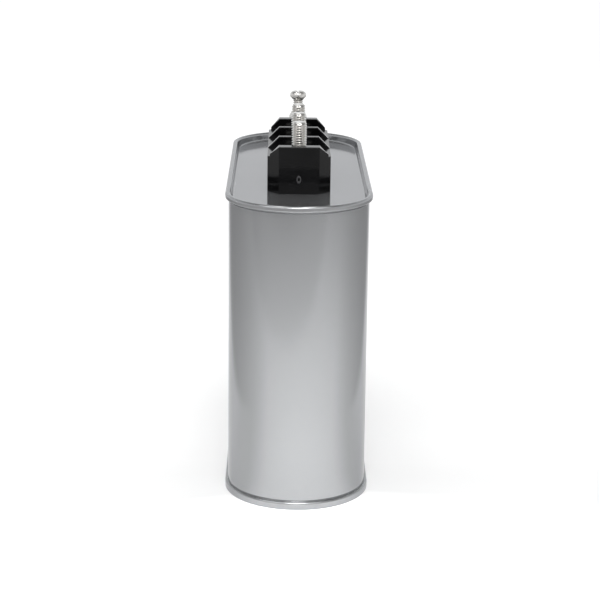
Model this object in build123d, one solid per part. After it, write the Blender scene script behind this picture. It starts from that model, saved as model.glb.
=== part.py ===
from build123d import *
import os

# Three-phase power factor correction capacitor: a sealed obround can with a moulded
# terminal block, three studs and an earth screw on its cover.
# Millimetres. The origin is the middle of the base, +Z is up and +Y runs along the can.

# Can body
body_width = 70.0
body_length = 211.0
can_height = 154.0

# Rolled seams at the can's two ends
top_seam_height = 2.8
top_seam_proud = 1.7
bottom_seam_height = 3.9
bottom_seam_proud = 1.5
seam_wall = 2.7
seam_crown_radius = 1.2
seam_edge_cut = 0.8
seam_lip_cut = 0.5
neck_depth = 0.4
top_neck_height = 0.7
bottom_neck_height = 0.3

# Cover and base, both set in from the seams' edges
cover_recess = 4.5
base_recess = 4.0
chuck_taper = 0.5
panel_corner_cut = 0.7

# Moulded terminal block
pole_count = 3
pole_pitch = 29.0
block_shift = -8.9
block_width = 32.0
block_flat = 20.4
block_bevel = 7.5
plinth_height = 18.2
barrier_height = 5.8
barrier_wall = 3.5
end_wall = 6.0
block_corner_radius = 0.5
barrier_edge_radius = 0.4

# Terminal studs, with the engaged thread drawn at its pitch diameter
stud_diameter = 8.0
stud_pitch_diameter = 7.188
stud_height = 15.8
stud_depth = 14.0
stud_lead = 1.0
thread_clearance = 0.05

# Lock nuts at the feet of the studs, held from turning in pockets of the block
nut_flats = 13.0
nut_height = 4.0
nut_sink = 2.2
pocket_clearance = 0.1

# Earth pillar and its screw
earth_place = 50.0
pillar_flats = 9.8
pillar_height = 25.2
pillar_hole_depth = 12.0
screw_diameter = 6.0
screw_pitch_diameter = 5.35
screw_engagement = 9.0
screw_lead = 0.8
screw_stand_off = 6.9
head_diameter = 9.0
head_cone_height = 1.5
head_side_height = 0.9
head_crown_radius = 2.0
head_rise = 0.3
slot_width = 1.0
slot_depth = 1.2
slot_turn = 6.0
cross_length = 5.0

# Shares
crown_limit_share = 0.45
head_crown_shares = ((1.0, 0.0), (0.87, 0.5), (0.5, 0.87), (0.0, 1.0))
pillar_top_share = 0.78
pillar_cone_slope_share = 1.8

# Sizes worked out from those above
straight_length = body_length - body_width
cover_z = can_height - cover_recess
floor_z = cover_z + plinth_height
block_top_z = floor_z + barrier_height
block_length = pole_count * pole_pitch + end_wall
pole_places = [block_shift + (i - (pole_count - 1) / 2) * pole_pitch for i in range(pole_count)]
barrier_places = [block_shift + (i - pole_count / 2) * pole_pitch for i in range(pole_count + 1)]
nut_seat_z = floor_z - nut_sink
nut_top_z = nut_seat_z + nut_height
pillar_top_z = cover_z + pillar_height
head_foot_z = pillar_top_z + screw_stand_off


def half_section(points):
    """A straight-sided half section."""
    return make_face(Polyline(*points, close=True).edges())


def turned(section):
    """A solid of revolution about Z, from its half section in X and Z."""
    return revolve(Plane.XZ * section, axis=Axis.Z)


def corners(face, places):
    """The corners of a flat face that lie nearest to the given places."""
    return [face.vertices().sort_by_distance(place)[0] for place in places]


def can_half_section():
    """The can's section from its middle line outwards: base, seams, wall and cover."""
    body = body_width / 2
    neck = body - neck_depth
    bottom_rim = body + bottom_seam_proud
    bottom_chuck = bottom_rim - seam_wall
    top_rim = body + top_seam_proud
    top_chuck = top_rim - seam_wall
    bottom_neck_z = bottom_seam_height + bottom_neck_height
    top_lip_z = can_height - top_seam_height
    top_neck_z = top_lip_z - top_neck_height
    base_corner = (bottom_chuck - chuck_taper, base_recess)
    bottom_edge = (bottom_rim, 0)
    bottom_lip = (bottom_rim, bottom_seam_height)
    top_lip = (top_rim, top_lip_z)
    top_crown = (top_rim, can_height)
    top_edge = (top_chuck, can_height)
    cover_corner = (top_chuck - chuck_taper, cover_z)
    points = [
        (0, base_recess),
        base_corner,
        (bottom_chuck, 0),
        bottom_edge,
        bottom_lip,
        (neck, bottom_seam_height),
        (neck, bottom_neck_z),
        (body, bottom_neck_z + neck_depth),
        (body, top_neck_z - neck_depth),
        (neck, top_neck_z),
        (neck, top_lip_z),
        top_lip,
        top_crown,
        top_edge,
        cover_corner,
        (0, cover_z),
    ]
    section = half_section(points)
    wall_limit = seam_wall * crown_limit_share
    lip_limit = min(top_seam_proud, bottom_seam_proud) * crown_limit_share
    section = chamfer(corners(section, [base_corner, cover_corner]), panel_corner_cut)
    section = chamfer(corners(section, [bottom_edge, top_edge]), min(seam_edge_cut, wall_limit))
    section = chamfer(corners(section, [bottom_lip, top_lip]), min(seam_lip_cut, lip_limit))
    section = fillet(corners(section, [top_crown]), min(seam_crown_radius, wall_limit))
    return Plane.XZ * section


def sealed_can():
    """The section carried round the obround plan: two half turns and two straight runs."""
    section = can_half_section()
    end = Pos(0, straight_length / 2, 0) * revolve(section, axis=Axis.Z, revolution_arc=180)
    run = extrude(section, straight_length / 2, both=True)
    return end + end.rotate(Axis.Z, 180) + run + run.rotate(Axis.Z, 180)


def block_plan():
    """The block's outline seen from above: a flat at each end and bevelled corners."""
    side, flat = block_width / 2, block_flat / 2
    end = block_length / 2
    shoulder = end - block_bevel
    quarter = [(flat, end), (side, shoulder)]
    points = [(x, y) for x, y in quarter]
    points += [(x, -y) for x, y in reversed(quarter)]
    points += [(-x, -y) for x, y in quarter]
    points += [(-x, y) for x, y in reversed(quarter)]
    outline = FilletPolyline(*points, radius=block_corner_radius, close=True)
    return Pos(0, block_shift, cover_z) * make_face(outline.edges())


def barrier(place, wall):
    """One upright wall, as wide as the block at its foot, with its top corners cut off."""
    side, flat = block_width / 2, block_flat / 2
    points = [(-side, floor_z), (side, floor_z), (flat, block_top_z), (-flat, block_top_z)]
    face = make_face(Polyline(*points, close=True).edges())
    plate = extrude(Plane.XZ * face, wall / 2, both=True)
    foot, *upper = plate.edges().filter_by(Axis.Y, reverse=True).group_by(Axis.Z)
    rounded = fillet([edge for group in upper for edge in group], barrier_edge_radius)
    return Pos(0, place, 0) * rounded


def terminal_block():
    """The moulding: plinth, barriers between the poles and a thicker wall at each end."""
    plinth = extrude(block_plan(), plinth_height)
    envelope = extrude(block_plan(), plinth_height + barrier_height)
    walls = [end_wall] + [barrier_wall] * (pole_count - 1) + [end_wall]
    block = plinth
    for place, wall in zip(barrier_places, walls):
        block += barrier(place, wall) & envelope
    bore_radius = stud_pitch_diameter / 2 + thread_clearance
    bore = Cylinder(bore_radius, stud_depth, align=(Align.CENTER, Align.CENTER, Align.MAX))
    pocket = hex_bar(nut_flats + 2 * pocket_clearance, nut_sink)
    for place in pole_places:
        block -= Pos(0, place, floor_z) * bore
        block -= Pos(0, place, nut_seat_z) * pocket
    return block


def terminal_stud(place):
    """A stud: its lower part is engaged in the block and nut, and the rest stands free."""
    engaged, free = stud_pitch_diameter / 2, stud_diameter / 2
    foot_z = floor_z - stud_depth
    top_z = floor_z + stud_height
    points = [
        (0, foot_z),
        (engaged, foot_z),
        (engaged, nut_top_z),
        (free, nut_top_z),
        (free, top_z - stud_lead),
        (free - stud_lead, top_z),
        (0, top_z),
    ]
    return Pos(0, place, 0) * turned(half_section(points))


def hex_bar(flats, height):
    """A hexagonal bar standing on Z = 0."""
    return extrude(RegularPolygon(flats / 2, 6, major_radius=False, rotation=30), height)


def tapped_hexagon(flats, height, hole_radius, hole_depth):
    """A hexagonal bar standing on Z = 0, with a hole from its top."""
    hole = Cylinder(hole_radius, hole_depth, align=(Align.CENTER, Align.CENTER, Align.MAX))
    return hex_bar(flats, height) - Pos(0, 0, height) * hole


def lock_nuts():
    """The thin nuts, one on each stud, seated in the pocket of its bay."""
    bore_radius = stud_pitch_diameter / 2 + thread_clearance
    nut = tapped_hexagon(nut_flats, nut_height, bore_radius, nut_height)
    return Compound(children=[Pos(0, place, nut_seat_z) * nut for place in pole_places])


def earth_pillar():
    """The hexagonal post that stands on the cover behind the block, its top turned to a cone."""
    hole_radius = screw_pitch_diameter / 2 + thread_clearance
    post = tapped_hexagon(pillar_flats, pillar_height, hole_radius, pillar_hole_depth)
    corner = RegularPolygon(pillar_flats / 2, 6, major_radius=False).radius
    circle = pillar_flats / 2 * pillar_top_share
    shoulder = pillar_height - (corner - circle) * pillar_cone_slope_share
    points = [(0, 0), (corner, 0), (corner, shoulder), (circle, pillar_height), (0, pillar_height)]
    return Pos(0, earth_place, cover_z) * (post & turned(half_section(points)))


def earth_screw():
    """The raised countersunk screw, standing part-way out of the pillar."""
    engaged, shank, head = screw_pitch_diameter / 2, screw_diameter / 2, head_diameter / 2
    tip_z = pillar_top_z - screw_engagement
    rim_z = head_foot_z + head_cone_height
    side_z = rim_z + head_side_height
    crown = min(head_crown_radius, head)
    top_z = side_z + crown + head_rise
    points = [
        (0, tip_z),
        (engaged - screw_lead, tip_z),
        (engaged, tip_z + screw_lead),
        (engaged, pillar_top_z),
        (shank, pillar_top_z),
        (shank, head_foot_z),
        (head, rim_z),
    ]
    points += [(head - crown + crown * out, side_z + crown * up) for out, up in head_crown_shares]
    screw = turned(half_section(points + [(0, top_z)]))
    top = (Align.CENTER, Align.CENTER, Align.MAX)
    slot = Box(slot_width, head_diameter, slot_depth, align=top)
    cross = Box(cross_length, slot_width, slot_depth, align=top)
    screw -= Pos(0, 0, top_z) * Rot(0, 0, slot_turn) * (slot + cross)
    return Pos(0, earth_place, 0) * screw


nodes = {
    "sealed_can": sealed_can(),
    "terminal_block": terminal_block(),
    "stud_lock_nuts": lock_nuts(),
    "earth_pillar": earth_pillar(),
    "earth_screw": earth_screw(),
}
for number, place in enumerate(pole_places, start=1):
    nodes[f"terminal_stud_{number}"] = terminal_stud(place)

os.makedirs("parts", exist_ok=True)
for name, solid in nodes.items():
    export_step(solid, f"parts/{name}.step")
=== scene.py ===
import math

import bmesh
import bpy
from mathutils import Matrix, Vector


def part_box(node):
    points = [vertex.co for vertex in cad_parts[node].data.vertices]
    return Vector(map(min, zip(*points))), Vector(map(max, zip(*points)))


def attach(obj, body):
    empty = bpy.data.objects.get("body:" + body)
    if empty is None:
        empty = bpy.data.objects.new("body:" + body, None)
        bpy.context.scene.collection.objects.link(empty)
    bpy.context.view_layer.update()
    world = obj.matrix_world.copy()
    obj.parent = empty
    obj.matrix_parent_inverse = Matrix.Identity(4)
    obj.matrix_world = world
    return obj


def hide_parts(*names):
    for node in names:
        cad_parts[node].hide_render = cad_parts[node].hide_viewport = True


# Three-phase power factor correction capacitor: finishes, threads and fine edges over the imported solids.
# Metres, in the solids' own frame. A name that ends in SHARE or SHARES is a share of another size.

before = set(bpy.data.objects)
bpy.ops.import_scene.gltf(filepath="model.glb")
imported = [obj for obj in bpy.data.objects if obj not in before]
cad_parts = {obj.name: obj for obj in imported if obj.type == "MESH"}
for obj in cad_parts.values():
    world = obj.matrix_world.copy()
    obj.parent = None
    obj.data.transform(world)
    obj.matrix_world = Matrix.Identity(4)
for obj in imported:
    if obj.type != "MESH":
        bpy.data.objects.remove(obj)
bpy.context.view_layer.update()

can_low, can_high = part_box("sealed_can")
block_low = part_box("terminal_block")[0]
nuts_low, nuts_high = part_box("stud_lock_nuts")
pillar_low, pillar_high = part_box("earth_pillar")
screw_low, screw_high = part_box("earth_screw")
stud_boxes = [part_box(f"terminal_stud_{number}") for number in (1, 2, 3)]

# Can: the seams stand proud of the body, and cover and base are set in from them
TOP_SEAM_HEIGHT = 0.0028
TOP_SEAM_PROUD = 0.0017
BOTTOM_SEAM_HEIGHT = 0.0039
BOTTOM_SEAM_PROUD = 0.0015
SEAM_WALL = 0.0027
CROWN_RADIUS = 0.0012
LIP_RADIUS = 0.0006
BOTTOM_LIP_RADIUS = 0.0011
NECK_DEPTH = 0.0004
TOP_NECK_HEIGHT = 0.0007
BOTTOM_NECK_HEIGHT = 0.0003
NECK_RADIUS = 0.0002
COVER_RECESS = 0.0045
BASE_RECESS = 0.0040
CHUCK_TAPER = 0.0005
PANEL_CORNER_RADIUS = 0.0010
CAN_ARC_STEPS = 72
CAN_RUN_STEPS = 24

# Threads: the stud is an M8, the earth screw an M6. Outlines are (share of pitch, share of depth)
STUD_PITCH = 0.00125
STUD_LEAD = 0.0010
SCREW_PITCH = 0.0010
SCREW_LEAD = 0.0008
THREAD_DEPTH_SHARE = 0.6134
THREAD_FALL_SHARES = (
    (0.000, 0.00), (0.040, 0.02), (0.075, 0.07), (0.110, 0.15), (0.140, 0.22),
    (0.370, 0.78), (0.400, 0.85), (0.435, 0.93), (0.470, 0.98), (0.500, 1.00),
)
THREAD_RISE_SHARES = tuple((1 - along, sunk) for along, sunk in THREAD_FALL_SHARES[-2:0:-1])
THREAD_OUTLINE_SHARES = THREAD_FALL_SHARES + THREAD_RISE_SHARES
THREAD_STEPS = 56
THREAD_PLAY = 0.00012
THREAD_IN_NUT = 0.0006

# Nuts and pillar
NUT_BORE_RADIUS = 0.003644
NUT_SINK = 0.0005
NUT_TOP_SHARE = 0.93
NUT_CHAMFER_SLOPE_SHARE = 0.577
PILLAR_BORE_RADIUS = 0.002725
PILLAR_SINK = 0.0004
PILLAR_HOLE_DEPTH = 0.012
PILLAR_TOP_SHARE = 0.78
PILLAR_CONE_SLOPE_SHARE = 1.8
HEX_SIDES = 6
HEX_CORNER_DEGREES = 28.6
HEX_SIDE_STEPS = 8

# Earth screw's head
HEAD_STAND_OFF = 0.0069
HEAD_CONE_HEIGHT = 0.0015
HEAD_SIDE_HEIGHT = 0.0009
HEAD_CROWN_RADIUS = 0.0020
HEAD_RISE = 0.0003
HEAD_EDGE_RADIUS = 0.0008
SHANK_RADIUS = 0.0030
SCREW_ENGAGED_RADIUS = 0.002675
SLOT_WIDTH = 0.0010
SLOT_LENGTH_SHARE = 3
SLOT_DEPTH = 0.0012
SLOT_TURN = math.radians(6)
CROSS_LENGTH = 0.0050
HEAD_STEPS = 72

# Mould mark on the block's front face
MARK_RADIUS = 0.0009
MARK_TALL_SHARE = 1.6
MARK_WIRE = 0.00034
MARK_LIFT_SHARE = 0.5
MARK_HEIGHT = 0.0075
MARK_SHIFT = -0.0001
MARK_WIRE_STEPS = 20
MARK_STEPS = 72

# Meshing
ARC_STEPS = 10
GUARD = 0.00012
LONG_STRETCH = 4 * GUARD
SHARP_DEGREES = 35
WELD = 1e-7

# Finishes: a noise is (scale, detail) and any stretch, a relief is (strength, distance)
NOISE_RANGE = (0.35, 0.65)
PAINT_METALLIC = 0.83
PAINT_EDGE_TINT = (0.82, 0.82, 0.83, 1)
PAINT_FLAKE = (5200, 2)
PAINT_CLOUD = (38, 4)
PAINT_PEEL = (420, 2)
PAINT_COLOURS = ((0.345, 0.352, 0.360), (0.405, 0.411, 0.418))
PAINT_ROUGHNESS = (0.09, 0.13)
PAINT_RELIEF = (0.12, 0.00004)
PLASTIC_IOR = 1.36
PLASTIC_FLOW = (60, 4, (1, 0.4, 1.6))
PLASTIC_SKIN = (900, 3)
PLASTIC_COLOURS = ((0.0018, 0.0018, 0.0021), (0.0040, 0.0040, 0.0044))
PLASTIC_ROUGHNESS = (0.10, 0.17)
PLASTIC_RELIEF = (0.08, 0.00003)
DULL_IOR = 1.52
DULL_GRAIN = (4000, 2)
DULL_COLOURS = ((0.030, 0.030, 0.032), (0.060, 0.060, 0.063))
DULL_ROUGHNESS = (0.5, 0.7)
STEEL_MARKS = (700, 3, (1, 1, 6))
STEEL_COLOURS = ((0.64, 0.625, 0.60), (0.74, 0.73, 0.71))
STEEL_ROUGHNESS = (0.06, 0.11)
STEEL_RELIEF = (0.1, 0.00002)

# Camera, in the place that the photograph was taken from
CAMERA_PLACE = Vector((-0.00857, -0.92555, 0.33034))
CAMERA_YAW = math.radians(0.642)
CAMERA_PITCH = math.radians(15.167)
CAMERA_ROLL = math.radians(-0.67)
CAMERA_LENS = 105.77

# Floor: its colour and glow hold painted light and shade; each table of shades gives (measure, shade) stops
FLOOR_SIZE = 12.0
FLOOR_ROUGHNESS = 0.9
FLOOR_SPECULAR = 0.1
FLOOR_GLOW = 0.72
FLOOR_FRONT_PLACE = (0.0, -0.0705, 0.0)
FLOOR_BRIGHT_SIDE = (0.10, -0.995, 0.0)
FLOOR_NEAR_SIDE = (-0.33, -1.0, 0.0)
FLOOR_TURN_SOFTENING = 2.0
FLOOR_TURN_SHADES = (
    (0.00, 0.90), (0.25, 0.80), (0.40, 0.68), (0.55, 0.59), (0.80, 0.50), (1.00, 0.45), (2.00, 0.37),
)
FLOOR_REACH_SHADES = (
    (0.00, 1.0), (0.12, 0.98), (0.18, 0.93), (0.25, 0.89), (0.33, 0.84), (0.40, 0.77),
    (0.62, 0.65), (0.72, 0.60), (0.86, 0.55), (1.50, 0.75), (3.00, 1.0),
)
FLOOR_FRONT_SHADES = (
    (0.00, 1.0), (0.38, 1.0), (0.44, 0.86), (0.70, 0.81), (0.79, 0.74),
    (0.86, 0.64), (0.95, 0.55), (1.60, 0.68), (3.00, 0.92),
)
FLOOR_WIDENING = 1.0
FLOOR_SEEN_SHADES = (
    (0.000, 1.0), (0.168, 1.0), (0.210, 0.60), (0.280, 0.40), (0.400, 0.25), (0.600, 0.25),
)
FLOOR_SEEN_FRONT_SHADES = (
    (0.00, 1.0), (0.06, 0.89), (0.12, 0.86), (0.22, 0.86), (0.30, 0.0), (0.60, 0.0),
)
FLOOR_SEEN_BACK_SHADES = (
    (0.00, 0.62), (0.06, 0.63), (0.20, 0.71), (0.50, 0.77), (1.00, 0.82), (3.00, 0.88),
)

# World: its shade turns from front to back and from low to overhead over these ranges of direction
WORLD_FRONT = (0.75, 0.75, 0.76)
WORLD_BACK = (0.88, 0.89, 0.90)
WORLD_OVERHEAD = (0.26, 0.26, 0.26)
WORLD_TURN_RANGE = (-0.7, 0.7)
WORLD_RISE_RANGE = (0.3, 0.8)

# Lamps: name, place, target, width and depth, power in watts, spread in degrees
LAMPS = (
    ("key", (-0.13, -0.71, 1.25), (0.0, -0.05, 0.1), (2.20, 1.30), 11.0, 180),
    ("pool", (0.03, -0.75, 1.00), (0.03, -0.17, 0.0), (0.80, 0.40), 0.45, 30),
    ("strip_left", (-0.23, 0.43, 1.30), (-0.23, 0.43, 0.0), (0.16, 0.60), 1.0, 180),
    ("strip_right", (0.12, 0.38, 1.30), (0.12, 0.38, 0.0), (0.16, 0.60), 1.5, 180),
)


def middle(low, high):
    """The middle of a box, seen from above."""
    return (low.x + high.x) / 2, (low.y + high.y) / 2


def turns_of(steps):
    """The angles of a full turn in that many steps."""
    return [2 * math.pi * step / steps for step in range(steps)]


def rounded(corners, steps=ARC_STEPS):
    """The outline through the corners, each ((x, z), radius), with an arc at each that has a radius."""
    points = []
    for index, (place, radius) in enumerate(corners):
        corner = Vector(place)
        if not radius:
            points.append(corner)
            continue
        before = (Vector(corners[index - 1][0]) - corner).normalized()
        after = (Vector(corners[index + 1][0]) - corner).normalized()
        half = before.angle(after) / 2
        centre = corner + (before + after).normalized() * radius / math.sin(half)
        start = corner + before * radius / math.tan(half) - centre
        turn = math.copysign(math.pi - 2 * half, before.cross(after) * -1)
        for step in range(steps + 1):
            angle = turn * step / steps
            cos, sin = math.cos(angle), math.sin(angle)
            spoke = Vector((start.x * cos - start.y * sin, start.x * sin + start.y * cos))
            points.append(centre + spoke)
    return points


def guarded(points):
    """The same outline with a point just inside each end of its long stretches, to hold the shading flat."""
    held = [points[0]]
    for start, end in zip(points, points[1:]):
        run = end - start
        if run.length > LONG_STRETCH:
            held += [start + run.normalized() * GUARD, end - run.normalized() * GUARD]
        held.append(end)
    return held


def ring_faces(rings):
    """Vertices and quads of a surface through closed rings of as many points each."""
    count = len(rings[0])
    verts = [point for ring in rings for point in ring]
    faces = []
    for row in range(len(rings) - 1):
        for column in range(count):
            right = (column + 1) % count
            faces.append((
                row * count + column,
                row * count + right,
                (row + 1) * count + right,
                (row + 1) * count + column,
            ))
    return verts, faces


def turned_rings(profile, steps, centre):
    """Rings of a solid of revolution about an upright axis, from its (radius, z) profile."""
    return [
        [(centre[0] + r * math.cos(turn), centre[1] + r * math.sin(turn), z) for turn in turns_of(steps)]
        for r, z in profile
    ]


def smooth(mesh):
    """Smooth shading that breaks at the sharp edges."""
    mesh.shade_smooth()
    mesh.set_sharp_from_angle(angle=math.radians(SHARP_DEGREES))


def clean_mesh(name, parts):
    """One mesh from (vertices, faces) parts, welded, with its normals outward and its sharp edges marked."""
    made = bmesh.new()
    for verts, faces in parts:
        placed = [made.verts.new(point) for point in verts]
        for face in faces:
            made.faces.new([placed[index] for index in face])
    bmesh.ops.remove_doubles(made, verts=made.verts, dist=WELD)
    bmesh.ops.dissolve_degenerate(made, edges=made.edges, dist=WELD)
    bmesh.ops.recalc_face_normals(made, faces=made.faces)
    mesh = bpy.data.meshes.new(name)
    made.to_mesh(mesh)
    made.free()
    smooth(mesh)
    return mesh


def linked(name, data):
    """A new object in the scene."""
    made = bpy.data.objects.new(name, data)
    bpy.context.scene.collection.objects.link(made)
    return made


def piece(name, mesh, material, slot, *nodes):
    """A piece of the object that rides with it and stands for the given solids."""
    made = linked(name, mesh)
    mesh.materials.append(material)
    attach(made, "root")
    if nodes:
        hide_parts(*nodes)
    return made


def new_material(name):
    """A material's node tree and its main shader."""
    material = bpy.data.materials.new(name)
    material.use_nodes = True
    tree = material.node_tree
    return material, tree, tree.nodes["Principled BSDF"]


def add(tree, kind, **settings):
    """A node of that kind, with its sockets and properties set by name."""
    made = tree.nodes.new(kind)
    for name, value in settings.items():
        title = name.replace("_", " ")
        if title in made.inputs:
            made.inputs[title].default_value = value
        else:
            setattr(made, name, value)
    return made


def feed(tree, value, socket):
    """Gives a socket a number, or the output of a node."""
    if isinstance(value, bpy.types.NodeSocket):
        tree.links.new(value, socket)
    else:
        socket.default_value = value


def noise(tree, scale, detail, stretch=(1, 1, 1)):
    """Noise in the object's own metres, stretched along its axes."""
    place = add(tree, "ShaderNodeTexCoord")
    mapping = add(tree, "ShaderNodeMapping", Scale=stretch)
    texture = add(tree, "ShaderNodeTexNoise", Scale=scale, Detail=detail)
    tree.links.new(place.outputs["Object"], mapping.inputs["Vector"])
    tree.links.new(mapping.outputs["Vector"], texture.inputs["Vector"])
    return texture.outputs["Fac"]


def spread(tree, value, low=0, high=1, source=NOISE_RANGE):
    """A value's source range mapped onto low to high."""
    made = add(tree, "ShaderNodeMapRange", To_Min=low, To_Max=high)
    made.inputs["From Min"].default_value, made.inputs["From Max"].default_value = source
    tree.links.new(value, made.inputs["Value"])
    return made.outputs["Result"]


def tinted(tree, value, dark, light):
    """A colour between two, each a colour or the output of a node, by a value."""
    made = add(tree, "ShaderNodeMix", data_type="RGBA")
    tree.links.new(value, made.inputs[0])
    for socket, colour in zip(made.inputs[6:8], (dark, light)):
        feed(tree, (*colour, 1) if isinstance(colour, tuple) else colour, socket)
    return made.outputs[2]


def bumped(tree, shader, height, strength, distance):
    """Fine relief on a shader's surface."""
    made = add(tree, "ShaderNodeBump", Strength=strength, Distance=distance)
    tree.links.new(height, made.inputs["Height"])
    tree.links.new(made.outputs["Normal"], shader.inputs["Normal"])


def can_paint():
    """Silver paint: fine flake, soft cloudiness and a slight orange peel."""
    material, tree, shader = new_material("silver_paint")
    shader.inputs["Metallic"].default_value = PAINT_METALLIC
    shader.inputs["Specular Tint"].default_value = PAINT_EDGE_TINT
    flake = noise(tree, *PAINT_FLAKE)
    cloud = noise(tree, *PAINT_CLOUD)
    tree.links.new(tinted(tree, spread(tree, flake), *PAINT_COLOURS), shader.inputs["Base Color"])
    tree.links.new(spread(tree, cloud, *PAINT_ROUGHNESS), shader.inputs["Roughness"])
    bumped(tree, shader, noise(tree, *PAINT_PEEL), *PAINT_RELIEF)
    return material


def block_plastic():
    """Glossy black moulding, with faint flow marks."""
    material, tree, shader = new_material("black_moulding")
    shader.inputs["IOR"].default_value = PLASTIC_IOR
    flow = noise(tree, *PLASTIC_FLOW)
    tree.links.new(tinted(tree, spread(tree, flow), *PLASTIC_COLOURS), shader.inputs["Base Color"])
    tree.links.new(spread(tree, flow, *PLASTIC_ROUGHNESS), shader.inputs["Roughness"])
    bumped(tree, shader, noise(tree, *PLASTIC_SKIN), *PLASTIC_RELIEF)
    return material


def dull_plastic():
    """The moulding where the mould is spark-eroded: matt, so it looks greyer."""
    material, tree, shader = new_material("dull_moulding")
    shader.inputs["IOR"].default_value = DULL_IOR
    grain = noise(tree, *DULL_GRAIN)
    tree.links.new(tinted(tree, spread(tree, grain), *DULL_COLOURS), shader.inputs["Base Color"])
    tree.links.new(spread(tree, grain, *DULL_ROUGHNESS), shader.inputs["Roughness"])
    return material


def plated_steel():
    """Nickel plate, a little warm, with fine turning marks."""
    material, tree, shader = new_material("nickel_plate")
    shader.inputs["Metallic"].default_value = 1
    marks = noise(tree, *STEEL_MARKS)
    tree.links.new(tinted(tree, spread(tree, marks), *STEEL_COLOURS), shader.inputs["Base Color"])
    tree.links.new(spread(tree, marks, *STEEL_ROUGHNESS), shader.inputs["Roughness"])
    bumped(tree, shader, marks, *STEEL_RELIEF)
    return material


def can_profile():
    """The can's half section from the middle of the base to the middle of the cover."""
    top_rim = can_high.x
    body = top_rim - TOP_SEAM_PROUD
    bottom_rim = body + BOTTOM_SEAM_PROUD
    neck = body - NECK_DEPTH
    top_chuck = top_rim - SEAM_WALL
    bottom_chuck = bottom_rim - SEAM_WALL
    base, top = can_low.z, can_high.z
    bottom_lip = base + BOTTOM_SEAM_HEIGHT
    bottom_neck = bottom_lip + BOTTOM_NECK_HEIGHT
    top_lip = top - TOP_SEAM_HEIGHT
    top_neck = top_lip - TOP_NECK_HEIGHT
    return guarded(rounded([
        ((0, base + BASE_RECESS), 0),
        ((bottom_chuck - CHUCK_TAPER, base + BASE_RECESS), PANEL_CORNER_RADIUS),
        ((bottom_chuck, base), LIP_RADIUS),
        ((bottom_rim, base), LIP_RADIUS),
        ((bottom_rim, bottom_lip), BOTTOM_LIP_RADIUS),
        ((neck, bottom_lip), NECK_RADIUS),
        ((neck, bottom_neck), NECK_RADIUS),
        ((body, bottom_neck + NECK_DEPTH), NECK_RADIUS),
        ((body, top_neck - NECK_DEPTH), NECK_RADIUS),
        ((neck, top_neck), NECK_RADIUS),
        ((neck, top_lip), NECK_RADIUS),
        ((top_rim, top_lip), LIP_RADIUS),
        ((top_rim, top), CROWN_RADIUS),
        ((top_chuck, top), CROWN_RADIUS),
        ((top_chuck - CHUCK_TAPER, top - COVER_RECESS), PANEL_CORNER_RADIUS),
        ((0, top - COVER_RECESS), 0),
    ]))


def sealed_can(material):
    """The can's section carried round its obround plan."""
    end = can_high.y - can_high.x
    steps = [(end, math.pi * step / CAN_ARC_STEPS) for step in range(CAN_ARC_STEPS)]
    steps += [(end - 2 * end * step / CAN_RUN_STEPS, math.pi) for step in range(CAN_RUN_STEPS)]
    steps += [(-y, turn + math.pi) for y, turn in steps]
    rings = [
        [(r * math.cos(turn), y + r * math.sin(turn), z) for y, turn in steps]
        for r, z in can_profile()
    ]
    mesh = clean_mesh("can_body", [ring_faces(rings)])
    return piece("can_body", mesh, material, "can_paint", "sealed_can")


def thread_rows(radius, pitch, low, high, lead):
    """Rows of a right-hand thread, each following the helix, cut off flat at low and coned at high."""
    depth = pitch * THREAD_DEPTH_SHARE
    root = radius - depth
    turns = math.ceil((high - low) / pitch) + 1
    angles = turns_of(THREAD_STEPS)
    rows = []
    for turn in range(-1, turns):
        for along, sunk in THREAD_OUTLINE_SHARES:
            row = []
            for step, angle in enumerate(angles):
                z = low + (turn + along + step / THREAD_STEPS) * pitch
                r = radius - depth * sunk
                if z <= low:
                    z, r = low, root
                z = min(z, high)
                r = min(r, radius - lead + high - z)
                row.append((r * math.cos(angle), r * math.sin(angle), z))
            rows.append(row)
    return rows


def thread_surface(rows, centre, tail):
    """Vertices and faces of a thread with a flat end above and a plain tail, (radius, z) points, below."""
    count, turn_rows = THREAD_STEPS, len(THREAD_OUTLINE_SHARES)
    shift = Vector((*centre, 0))
    verts = [Vector(point) + shift for row in rows for point in row]
    faces = []
    for row in range(len(rows) - turn_rows - 1):
        for step in range(count):
            left = row * count + step
            # The last step meets the first one of the next turn
            right = left + 1 if step < count - 1 else (row + turn_rows) * count
            faces.append((left, right, right + count, left + count))
    top = (len(rows) - 1) * count
    faces.append([top + step for step in range(count)])
    return [(verts, faces), ring_faces(turned_rings(tail, count, centre))]


def terminal_stud(number, material):
    """A threaded stud: plain where the block hides it, threaded from inside its nut to its end."""
    low, high = stud_boxes[number - 1]
    radius = (high.x - low.x) / 2 - THREAD_PLAY
    root = radius - STUD_PITCH * THREAD_DEPTH_SHARE
    start = nuts_high.z - THREAD_IN_NUT
    rows = thread_rows(radius, STUD_PITCH, start, high.z, STUD_LEAD)
    parts = thread_surface(rows, middle(low, high), [(0, low.z), (root, low.z), (root, start)])
    mesh = clean_mesh(f"stud_{number}", parts)
    return piece(f"stud_{number}", mesh, material, "plated_steel", f"terminal_stud_{number}")


def hex_rings(levels, centre):
    """Rings of a hexagonal form: each level is (radius, z), or a rule from the hexagon's reach to those."""
    turns = []
    for side in range(HEX_SIDES):
        for step in range(HEX_SIDE_STEPS + 1):
            off = HEX_CORNER_DEGREES * (2 * step / HEX_SIDE_STEPS - 1)
            turns.append((math.radians(360 / HEX_SIDES * side + off), math.radians(off)))
    rings = []
    for level in levels:
        ring = []
        for turn, off in turns:
            r, z = level(1 / math.cos(off)) if callable(level) else level
            ring.append((centre[0] + r * math.cos(turn), centre[1] + r * math.sin(turn), z))
        rings.append(ring)
    return rings


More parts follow.
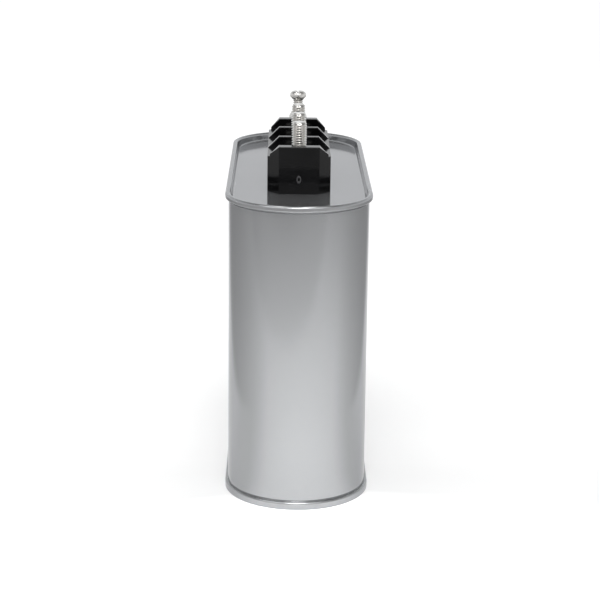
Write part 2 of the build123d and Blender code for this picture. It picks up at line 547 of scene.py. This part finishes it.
def lock_nuts(material):
    """The thin hexagonal nuts at the studs' feet, chamfered on both faces."""
    flat = (nuts_high.x - nuts_low.x) / 2
    circle = flat * NUT_TOP_SHARE
    low, high = nuts_low.z, nuts_high.z

    def drop(reach):
        return (flat * reach - circle) * NUT_CHAMFER_SLOPE_SHARE

    levels = [
        (NUT_BORE_RADIUS, low),
        (circle, low),
        lambda reach: (flat * reach, low + drop(reach)),
        lambda reach: (flat * reach, high - drop(reach)),
        (circle, high),
        (NUT_BORE_RADIUS + NUT_SINK, high),
        (NUT_BORE_RADIUS, high - NUT_SINK),
        (NUT_BORE_RADIUS, low),
    ]
    parts = [ring_faces(hex_rings(levels, middle(*box))) for box in stud_boxes]
    mesh = clean_mesh("lock_nuts", parts)
    return piece("lock_nuts", mesh, material, "plated_steel", "stud_lock_nuts")


def earth_pillar(material):
    """The hexagonal post behind the block, with a countersunk tapped hole in its coned top."""
    flat = (pillar_high.x - pillar_low.x) / 2
    circle = flat * PILLAR_TOP_SHARE
    low, high = pillar_low.z, pillar_high.z

    def shoulder(reach):
        return flat * reach, high - (flat * reach - circle) * PILLAR_CONE_SLOPE_SHARE

    levels = [
        (0, low),
        lambda reach: (flat * reach, low),
        shoulder,
        (circle, high),
        (PILLAR_BORE_RADIUS + PILLAR_SINK, high),
        (PILLAR_BORE_RADIUS, high - PILLAR_SINK),
        (PILLAR_BORE_RADIUS, high - PILLAR_HOLE_DEPTH),
        (0, high - PILLAR_HOLE_DEPTH),
    ]
    rings = hex_rings(levels, middle(pillar_low, pillar_high))
    mesh = clean_mesh("earth_post", [ring_faces(rings)])
    return piece("earth_post", mesh, material, "plated_steel", "earth_pillar")


def cut(mesh, place, turn, sizes):
    """The mesh with boxes of the given sizes cut out of it, all centred on one place and turned alike."""
    body = linked("cut_body", mesh)
    turned = Matrix.Translation(place) @ Matrix.Rotation(turn, 4, "Z")
    tools = []
    for size in sizes:
        box = bmesh.new()
        bmesh.ops.create_cube(box, size=1, matrix=turned @ Matrix.Diagonal((*size, 1)))
        box_mesh = bpy.data.meshes.new("cut_tool")
        box.to_mesh(box_mesh)
        box.free()
        tool = linked("cut_tool", box_mesh)
        change = body.modifiers.new("cut", "BOOLEAN")
        change.object = tool
        change.operation = "DIFFERENCE"
        change.solver = "EXACT"
        tools.append(tool)
    seen = body.evaluated_get(bpy.context.evaluated_depsgraph_get())
    made = bpy.data.meshes.new_from_object(seen)
    for spare in [body, *tools]:
        bpy.data.objects.remove(spare)
    return made


def screw_head(centre, foot):
    """The screw's round-edged head, coned below, with a slot and a short cross in its top."""
    head = (screw_high.x - screw_low.x) / 2
    rim = foot + HEAD_CONE_HEIGHT
    crown = rim + HEAD_SIDE_HEIGHT + HEAD_CROWN_RADIUS
    top = crown + HEAD_RISE
    profile = rounded([
        ((0, foot), 0),
        ((SHANK_RADIUS, foot), 0),
        ((head, rim), HEAD_EDGE_RADIUS),
        ((head, crown), HEAD_CROWN_RADIUS),
        ((0, top), 0),
    ])
    mesh = clean_mesh("screw_head", [ring_faces(turned_rings(profile, HEAD_STEPS, centre))])
    return cut(mesh, Vector((*centre, top)), SLOT_TURN, [
        (SLOT_WIDTH, head * SLOT_LENGTH_SHARE, 2 * SLOT_DEPTH),
        (CROSS_LENGTH, SLOT_WIDTH, 2 * SLOT_DEPTH),
    ])


def screw_shank(centre, foot):
    """The screw's thread from the pillar's top to its head, and its plain end in the pillar."""
    start = pillar_high.z - PILLAR_SINK
    radius = SHANK_RADIUS - THREAD_PLAY
    root = radius - SCREW_PITCH * THREAD_DEPTH_SHARE
    rows = thread_rows(radius, SCREW_PITCH, start, foot, 0)
    tail = [
        (0, screw_low.z),
        (SCREW_ENGAGED_RADIUS - SCREW_LEAD, screw_low.z),
        (SCREW_ENGAGED_RADIUS, screw_low.z + SCREW_LEAD),
        (SCREW_ENGAGED_RADIUS, start),
        (root, start),
    ]
    return clean_mesh("screw_shank", thread_surface(rows, centre, tail))


def earth_screw(material):
    """The raised countersunk screw, part-way out of its pillar."""
    centre = middle(screw_low, screw_high)
    foot = pillar_high.z + HEAD_STAND_OFF
    both = bmesh.new()
    for part in (screw_shank(centre, foot), screw_head(centre, foot)):
        both.from_mesh(part)
    mesh = bpy.data.meshes.new("earth_screw_piece")
    both.to_mesh(mesh)
    both.free()
    smooth(mesh)
    return piece("ground_screw", mesh, material, "plated_steel", "earth_screw")


def mould_mark(material):
    """A small plain oval ring left by the mould on the block's front face."""
    centre = Vector((MARK_SHIFT, block_low.y, block_low.z + MARK_HEIGHT))
    wire = [
        (MARK_RADIUS + MARK_WIRE * math.cos(angle), MARK_WIRE * MARK_LIFT_SHARE * math.sin(angle))
        for angle in turns_of(MARK_WIRE_STEPS)
    ]
    rings = [
        [
            centre + Vector((r * math.cos(turn), -lift, r * MARK_TALL_SHARE * math.sin(turn)))
            for turn in turns_of(MARK_STEPS)
        ]
        for r, lift in [*wire, wire[0]]
    ]
    mesh = clean_mesh("mould_ring", [ring_faces(rings)])
    return piece("mould_ring", mesh, material, "block_plastic")


def dress_block(material):
    """The moulding keeps its own solid, with the plastic's finish."""
    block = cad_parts["terminal_block"]
    block.data.materials.clear()
    block.data.materials.append(material)


def set_camera():
    """The photograph's own view."""
    cos_pitch, sin_pitch = math.cos(CAMERA_PITCH), math.sin(CAMERA_PITCH)
    cos_yaw, sin_yaw = math.cos(CAMERA_YAW), math.sin(CAMERA_YAW)
    forward = Vector((sin_yaw * cos_pitch, cos_yaw * cos_pitch, -sin_pitch))
    level = Vector((cos_yaw, -sin_yaw, 0))
    drop = forward.cross(level)
    right = level * math.cos(CAMERA_ROLL) + drop * math.sin(CAMERA_ROLL)
    down = drop * math.cos(CAMERA_ROLL) - level * math.sin(CAMERA_ROLL)
    lens = bpy.data.cameras.new("camera")
    lens.lens = CAMERA_LENS
    camera = linked("camera", lens)
    turn = Matrix((right, -down, -forward)).transposed()
    camera.matrix_world = Matrix.Translation(CAMERA_PLACE) @ turn.to_4x4()
    bpy.context.scene.camera = camera


def soft_light(name, place, target, size, power, spread_degrees):
    """A rectangular soft light that faces its target, its beam narrowed to the given spread."""
    lamp = bpy.data.lights.new(name, "AREA")
    lamp.shape = "RECTANGLE"
    lamp.size, lamp.size_y = size
    lamp.energy = power
    lamp.spread = math.radians(spread_degrees)
    light = linked(name, lamp)
    aim = (Vector(target) - Vector(place)).to_track_quat("-Z", "Y")
    light.matrix_world = Matrix.Translation(Vector(place)) @ aim.to_matrix().to_4x4()


def calculated(tree, operation, first, second=0):
    """One step of arithmetic on numbers or the outputs of nodes."""
    made = add(tree, "ShaderNodeMath", operation=operation)
    feed(tree, first, made.inputs[0])
    feed(tree, second, made.inputs[1])
    return made.outputs["Value"]


def product(tree, first, *others):
    """The product of several outputs of nodes."""
    for other in others:
        first = calculated(tree, "MULTIPLY", first, other)
    return first


def on_place(tree, operation, place, fixed=None):
    """One step of arithmetic on a place, by itself or with a fixed place."""
    made = add(tree, "ShaderNodeVectorMath", operation=operation)
    tree.links.new(place, made.inputs[0])
    if fixed:
        made.inputs[1].default_value = fixed
    return made


def ramp(tree, value, stops):
    """A shade that follows a value through (value, shade) stops."""
    made = add(tree, "ShaderNodeValToRGB")
    reach = stops[-1][0]
    marks = made.color_ramp.elements
    while len(marks) < len(stops):
        marks.new(1)
    for mark, (place, shade) in zip(marks, stops):
        mark.position = place / reach
        mark.color = (shade, shade, shade, 1)
    tree.links.new(calculated(tree, "DIVIDE", value, reach), made.inputs["Fac"])
    return made.outputs["Color"]


def painted_pool_and_shade(tree, place):
    """The greys of painted light and shade that the can mirrors, by the turn round its front end and by the
    distance from it: a painted pool of light before it, painted shade to its sides and far off.
    """
    spoke = on_place(tree, "SUBTRACT", place, FLOOR_FRONT_PLACE).outputs["Vector"]
    reach = on_place(tree, "LENGTH", spoke).outputs["Value"]
    bright = on_place(tree, "DOT_PRODUCT", spoke, FLOOR_BRIGHT_SIDE).outputs["Value"]
    ahead = on_place(tree, "DOT_PRODUCT", place, FLOOR_NEAR_SIDE).outputs["Value"]
    turn = calculated(tree, "SUBTRACT", 1, calculated(tree, "DIVIDE", bright, reach))
    softening = calculated(tree, "ADD", calculated(tree, "MULTIPLY", reach, FLOOR_TURN_SOFTENING), 1)
    turn = calculated(tree, "DIVIDE", turn, softening)
    return product(
        tree,
        ramp(tree, turn, FLOOR_TURN_SHADES),
        ramp(tree, reach, FLOOR_REACH_SHADES),
        ramp(tree, ahead, FLOOR_FRONT_SHADES),
    )


def seen_strip_with_painted_shade(tree, place):
    """The white strip that the photograph's view takes in, widening away from the camera."""
    # Painted shade: greyer beside the can and outside the strip
    axes = add(tree, "ShaderNodeSeparateXYZ")
    tree.links.new(place, axes.inputs["Vector"])
    behind = calculated(tree, "MAXIMUM", axes.outputs["Y"], 0)
    before = calculated(tree, "MULTIPLY", axes.outputs["Y"], -1)
    widening = calculated(tree, "ADD", calculated(tree, "MULTIPLY", behind, FLOOR_WIDENING), 1)
    aside = calculated(tree, "DIVIDE", calculated(tree, "ABSOLUTE", axes.outputs["X"]), widening)
    return product(
        tree,
        ramp(tree, aside, FLOOR_SEEN_SHADES),
        ramp(tree, behind, FLOOR_SEEN_BACK_SHADES),
        ramp(tree, before, FLOOR_SEEN_FRONT_SHADES),
    )


def painted_light_floor():
    """A floor that is white where the camera sees it, with a painted pool of light before the can and
    painted shade greyer to the sides, in its colour and in its glow.
    """
    material, tree, shader = new_material("floor_painted_light")
    shader.inputs["Roughness"].default_value = FLOOR_ROUGHNESS
    shader.inputs["Specular IOR Level"].default_value = FLOOR_SPECULAR
    place = add(tree, "ShaderNodeTexCoord").outputs["Object"]
    shade = calculated(tree, "MAXIMUM", painted_pool_and_shade(tree, place), seen_strip_with_painted_shade(tree, place))
    tree.links.new(shade, shader.inputs["Base Color"])
    tree.links.new(shade, shader.inputs["Emission Color"])
    rays = add(tree, "ShaderNodeLightPath").outputs
    seen = calculated(tree, "MAXIMUM", rays["Is Camera Ray"], rays["Is Glossy Ray"])
    seen = calculated(tree, "MAXIMUM", seen, rays["Is Transmission Ray"])
    tree.links.new(calculated(tree, "MULTIPLY", seen, FLOOR_GLOW), shader.inputs["Emission Strength"])
    return material


def set_world():
    """A soft surround, a little brighter behind the object than in front of it, and dark grey overhead."""
    world = bpy.data.worlds.new("studio")
    world.use_nodes = True
    bpy.context.scene.world = world
    tree = world.node_tree
    place = add(tree, "ShaderNodeTexCoord")
    axes = add(tree, "ShaderNodeSeparateXYZ")
    tree.links.new(place.outputs["Generated"], axes.inputs["Vector"])
    turn = spread(tree, axes.outputs["Y"], source=WORLD_TURN_RANGE)
    rise = spread(tree, axes.outputs["Z"], source=WORLD_RISE_RANGE)
    shade = tinted(tree, rise, tinted(tree, turn, WORLD_FRONT, WORLD_BACK), WORLD_OVERHEAD)
    tree.links.new(shade, tree.nodes["Background"].inputs["Color"])


def set_stage():
    """A floor white in view with painted light and shade round it, a large lamp and a pool of light before
    the object, and two strip lights above it.
    """
    half = FLOOR_SIZE / 2
    corners = [(-half, -half, 0), (half, -half, 0), (half, half, 0), (-half, half, 0)]
    mesh = bpy.data.meshes.new("floor")
    mesh.from_pydata(corners, [], [(0, 1, 2, 3)])
    floor = linked("floor", mesh)
    mesh.materials.append(painted_light_floor())
    set_world()
    for lamp in LAMPS:
        soft_light(*lamp)


paint = can_paint()
plastic = block_plastic()
steel = plated_steel()
sealed_can(paint)
dress_block(plastic)
mould_mark(dull_plastic())
for number in (1, 2, 3):
    terminal_stud(number, steel)
lock_nuts(steel)
earth_pillar(steel)
earth_screw(steel)
set_stage()
set_camera()
bpy.context.scene.view_settings.view_transform = "Standard"
